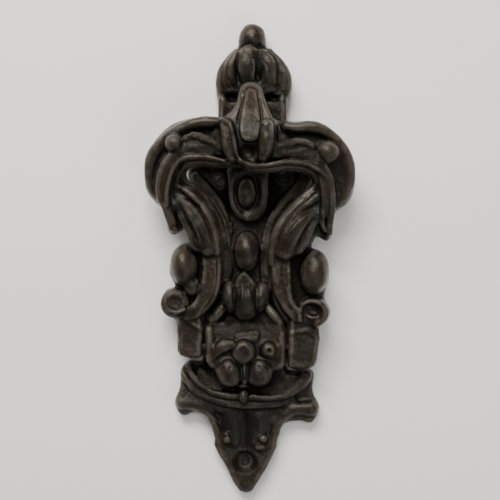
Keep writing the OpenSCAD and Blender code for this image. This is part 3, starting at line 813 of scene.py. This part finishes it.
class Nodes:
    """Builds one material's node tree: add() makes a node and links or sets its inputs."""

    def __init__(self, name):
        self.material = bpy.data.materials.new(name)
        self.material.use_nodes = True
        self.tree = self.material.node_tree
        self.tree.nodes.clear()

    def add(self, kind, inputs=(), **settings):
        node = self.tree.nodes.new("ShaderNode" + kind)
        for key, value in settings.items():
            setattr(node, key, value)
        for key, value in dict(inputs).items():
            if isinstance(value, bpy.types.NodeSocket):
                self.tree.links.new(value, node.inputs[key])
            else:
                node.inputs[key].default_value = value
        return node

    def noise(self, place, scale, detail, rough, distort=0.0):
        node = self.add("TexNoise", {"Vector": place, "Scale": scale, "Detail": detail, "Roughness": rough,
                                     "Distortion": distort})
        return node.outputs["Fac"]

    def times(self, a, b):
        return self.add("Math", {0: a, 1: b}, operation="MULTIPLY").outputs[0]

    def less(self, a, b):
        return self.add("Math", {0: a, 1: b}, operation="SUBTRACT").outputs[0]

    def times_plus(self, a, b, c):
        return self.add("Math", {0: a, 1: b, 2: c}, operation="MULTIPLY_ADD").outputs[0]

    def measure(self, name):
        """One of the numbers that to_mesh keeps at each vertex."""
        return self.add("Attribute", attribute_name=name).outputs["Fac"]

    def in_millimetres(self, place):
        return self.add("VectorMath", {0: place, 3: 1 / MM}, operation="SCALE").outputs[0]

    def cells(self, place, scale):
        """The distance to the nearest of many scattered points."""
        return self.add("TexVoronoi", {"Vector": place, "Scale": scale,
                                       "Randomness": 1.0}).outputs["Distance"]

    def ramp(self, value, low, high, to_low=0.0, to_high=1.0):
        node = self.add("MapRange", {"Value": value, "From Min": low, "From Max": high, "To Min": to_low,
                                     "To Max": to_high}, interpolation_type="SMOOTHSTEP")
        return node.outputs["Result"]

    def mix(self, share, a, b):
        return self.add("Mix", {0: share, 6: a, 7: b}, data_type="RGBA").outputs[2]

    def finish(self, shader):
        self.add("OutputMaterial", {"Surface": shader.outputs[0]})
        return self.material


OLIVE_BLACK = (0.0066, 0.0064, 0.0052, 1)
BROWN_BLACK = (0.0090, 0.0067, 0.0046, 1)
GREEN_BLACK = (0.0068, 0.0078, 0.0062, 1)
DARK_GRAIN = (0.0052, 0.0045, 0.0036, 1)
# Painted shade for the recesses, over their dark patina.
RECESS_SHADE_AND_PATINA = (0.0026, 0.0023, 0.0018, 1)
# Painted shadow for the low faces.
PAINTED_SHADOW_BLACK = (0.0014, 0.0012, 0.001, 1)
RUBBED = (0.023, 0.0132, 0.0075, 1)
SAND_SKIN = (0.028, 0.0215, 0.0135, 1)
WORN_EDGE = (0.066, 0.058, 0.046, 1)
BARE_BROWN = (0.060, 0.045, 0.031, 1)
BARE_DARK = (0.036, 0.029, 0.022, 1)
DUST = (0.35, 0.34, 0.31, 1)
WARM_GLOSS = (1, 0.94, 0.87, 1)
STEEL_GREY = (0.022, 0.021, 0.020, 1)
STEEL_RUST = (0.016, 0.011, 0.008, 1)


def old_bronze():
    """Dark, waxed bronze: dark patina with painted shade in the recesses, a painted shadow over the low front
    faces, rubbed on the crests and bare on the flat back.
    """
    n = Nodes("old_bronze")
    where = n.add("TexCoord")
    place = n.in_millimetres(where.outputs["Object"])
    drift = n.noise(place, 0.045, 3, 0.6)
    patches = n.noise(place, 0.13, 4, 0.6, 0.6)
    grain = n.noise(place, 1.1, 4, 0.6)
    fine = n.noise(place, 3.2, 3, 0.6)
    coarse = n.measure("grit")
    stands_out = n.times_plus(patches, 2.5, n.less(n.measure("relief"), 1.25))
    towards_door = n.add("SeparateXYZ", {0: where.outputs["Normal"]}).outputs["Y"]
    front = n.ramp(towards_door, 0.5, 0.8, 1.0, 0.0)
    # Painted shade, partly dark patina: front faces that sit below the relief around them go darker.
    recess_shade_and_patina = n.times(n.ramp(stands_out, -3.5, 0.2, 1.0, 0.0), front)
    # Painted shadow: front faces no higher than about the average within 8 mm, such as those under the
    # crossbar, go almost black.
    painted_shadow = n.times(n.ramp(n.measure("depth"), -3.5, 1.2, 0.92, 0.0), front)
    high = n.ramp(stands_out, 0.6, 3.6)
    rub = n.times(high, n.ramp(drift, 0.3, 0.62, 0.35, 1.0))
    edge = n.times(n.ramp(n.measure("crest"), 0.25, 0.75), n.ramp(patches, 0.36, 0.56, 0.25, 1.0))
    dust = n.times(n.ramp(n.cells(place, 0.42), 0.035, 0.06, 1.0, 0.0), n.ramp(patches, 0.48, 0.56))
    pits = n.times(n.ramp(n.cells(place, 0.9), 0.0, 0.35, 1.0, 0.0), n.ramp(drift, 0.45, 0.65))

    body = n.mix(n.ramp(drift, 0.35, 0.65), OLIVE_BLACK, BROWN_BLACK)
    body = n.mix(n.ramp(patches, 0.5, 0.7, 0, 0.75), body, GREEN_BLACK)
    body = n.mix(n.ramp(grain, 0.45, 0.75, 0, 0.5), body, DARK_GRAIN)
    # Painted shade in the recesses, over their dark patina.
    body = n.mix(n.times(recess_shade_and_patina, 0.6), body, RECESS_SHADE_AND_PATINA)
    # Painted shadow on the low faces.
    body = n.mix(painted_shadow, body, PAINTED_SHADOW_BLACK)
    body = n.mix(n.times(rub, 0.75), body, RUBBED)
    body = n.mix(n.times(coarse, 0.35), body, SAND_SKIN)
    body = n.mix(n.times(edge, 0.75), body, WORN_EDGE)
    bare = n.mix(n.ramp(patches, 0.35, 0.65), BARE_BROWN, BARE_DARK)
    body = n.mix(n.ramp(towards_door, 0.75, 0.95), body, bare)
    body = n.mix(n.times(dust, 0.7), body, DUST)

    rough = n.times_plus(recess_shade_and_patina, 0.2, n.ramp(patches, 0.3, 0.7, 0.22, 0.36))
    rough = n.times_plus(coarse, 0.12, n.times_plus(high, -0.06, rough))
    rough = n.times_plus(n.less(fine, 0.5), 0.25, rough)
    # Less reflection where the shadow is painted.
    shine = n.ramp(painted_shadow, 0.0, 0.92, 0.27, 0.07)

    height = n.times_plus(grain, n.times_plus(coarse, 0.8, 0.2),
                          n.times(fine, n.times_plus(coarse, 0.3, 0.09)))
    height = n.times_plus(pits, -0.06, height)
    height = n.times_plus(patches, 0.25, height)
    bump = n.add("Bump", {"Height": height, "Strength": 1.0, "Distance": 0.001})
    return n.finish(n.add("BsdfPrincipled", {
        "Base Color": body, "Roughness": rough, "Metallic": 0.2, "Specular IOR Level": shine,
        "Specular Tint": WARM_GLOSS, "Normal": bump.outputs["Normal"]}))


def pin_steel():
    """Dull, darkened steel."""
    n = Nodes("pin_steel")
    place = n.in_millimetres(n.add("TexCoord").outputs["Object"])
    stain = n.noise(place, 0.35, 4, 0.6)
    fine = n.noise(place, 2.5, 3, 0.6)
    colour = n.mix(n.ramp(stain, 0.4, 0.6), STEEL_GREY, STEEL_RUST)
    bump = n.add("Bump", {"Height": n.times(fine, 0.05), "Distance": 0.001})
    return n.finish(n.add("BsdfPrincipled", {
        "Base Color": colour, "Roughness": n.ramp(stain, 0.3, 0.7, 0.5, 0.7), "Metallic": 0.8,
        "Normal": bump.outputs["Normal"]}))


bronze = old_bronze()
steel = pin_steel()
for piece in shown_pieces():
    piece.data.materials.clear()
    piece.data.materials.append(steel if "hinge_pin" in piece.name else bronze)


def one_sided(name, colour):
    """A plain stage material that is clear from behind, so that the plate's back can be seen and lit."""
    n = Nodes(name)
    plain = n.add("BsdfPrincipled", {"Base Color": colour})
    clear = n.add("BsdfTransparent")
    from_behind = n.add("NewGeometry").outputs["Backfacing"]
    to_a_light = n.add("LightPath").outputs["Is Shadow Ray"]
    is_open = n.add("Math", {0: from_behind, 1: to_a_light}, operation="MAXIMUM")
    shown = n.add("MixShader", {0: is_open.outputs[0], 1: plain.outputs[0], 2: clear.outputs[0]})
    return n.finish(shown)


WALL_HALF = 2
WALL_Y = 0.0006
wall_mesh = bpy.data.meshes.new("stage_wall")
wall_corners = [(sx * WALL_HALF, WALL_Y, sz * WALL_HALF) for sx, sz in ((-1, -1), (1, -1), (1, 1), (-1, 1))]
wall_mesh.from_pydata(wall_corners, [], [(0, 1, 2, 3)])
wall = bpy.data.objects.new("stage_wall", wall_mesh)
bpy.context.scene.collection.objects.link(wall)
wall_mesh.materials.append(one_sided("stage_wall", (0.93, 0.915, 0.905, 1)))

# Dark discs just in front of the wall, behind the screw holes: painted shade for the screws' pilot holes.
PILOT_R = 0.0026
PILOT_Y = 0.0004
PILOT_CORNERS = 24
# Painted shade: the discs' dark colour stands in for the shade inside the holes.
pilot_hole_shade_material = one_sided("stage_pilot_hole_shade", (0.05, 0.036, 0.028, 1))
turns = np.linspace(0, 2 * math.pi, PILOT_CORNERS, endpoint=False)
for number, (hx, hz) in enumerate((*LOW_SCREWS, CREST_SCREW)):
    rim = [(hx * MM + PILOT_R * math.cos(t), PILOT_Y, hz * MM + PILOT_R * math.sin(t)) for t in turns]
    hole_mesh = bpy.data.meshes.new(f"stage_pilot_hole_{number + 1}")
    hole_mesh.from_pydata(rim, [], [tuple(range(PILOT_CORNERS))])
    hole_mesh.materials.append(pilot_hole_shade_material)
    hole = bpy.data.objects.new(hole_mesh.name, hole_mesh)
    bpy.context.scene.collection.objects.link(hole)

MIDDLE = (0, 0, -0.04)
studio_light("key", (0.2, -0.75, -0.7), MIDDLE, (0.6, 0.35), 15.5, (1, 0.97, 0.93))
studio_light("fill", (-0.5, -0.7, 0.5), (0, 0, 0), (0.5, 0.5), 2.5)
studio_light("near_camera_left", (0.09, -0.8, -0.2), MIDDLE, (0.05, 0.2), 0.45)
studio_light("near_camera_right", (-0.09, -0.8, -0.2), MIDDLE, (0.05, 0.2), 0.45)
studio_light("behind", (-0.4, 0.8, 0.35), MIDDLE, (0.6, 0.6), 8)
world = bpy.data.worlds.new("studio")
world.use_nodes = True
sky = world.node_tree.nodes["Background"]
sky.inputs["Color"].default_value = (1, 0.99, 0.97, 1)
sky.inputs["Strength"].default_value = 0.3
bpy.context.scene.world = world

# The camera looks straight at the door with the pendant bud at the top, and leans a little.
CAMERA_PLACE = Vector((-0.0003, -0.52, -0.0408))
CAMERA_LENS = 87.1
LEAN = math.radians(0.73)
camera_data = bpy.data.cameras.new("camera")
camera_data.lens = CAMERA_LENS
camera = bpy.data.objects.new("camera", camera_data)
up = Vector((math.sin(LEAN), 0, -math.cos(LEAN)))
ahead = Vector((0, 1, 0))
right = ahead.cross(up)
turn = Matrix((right, up, -ahead)).transposed()
camera.matrix_world = Matrix.Translation(CAMERA_PLACE) @ turn.to_4x4()
bpy.context.scene.collection.objects.link(camera)
bpy.context.scene.camera = camera
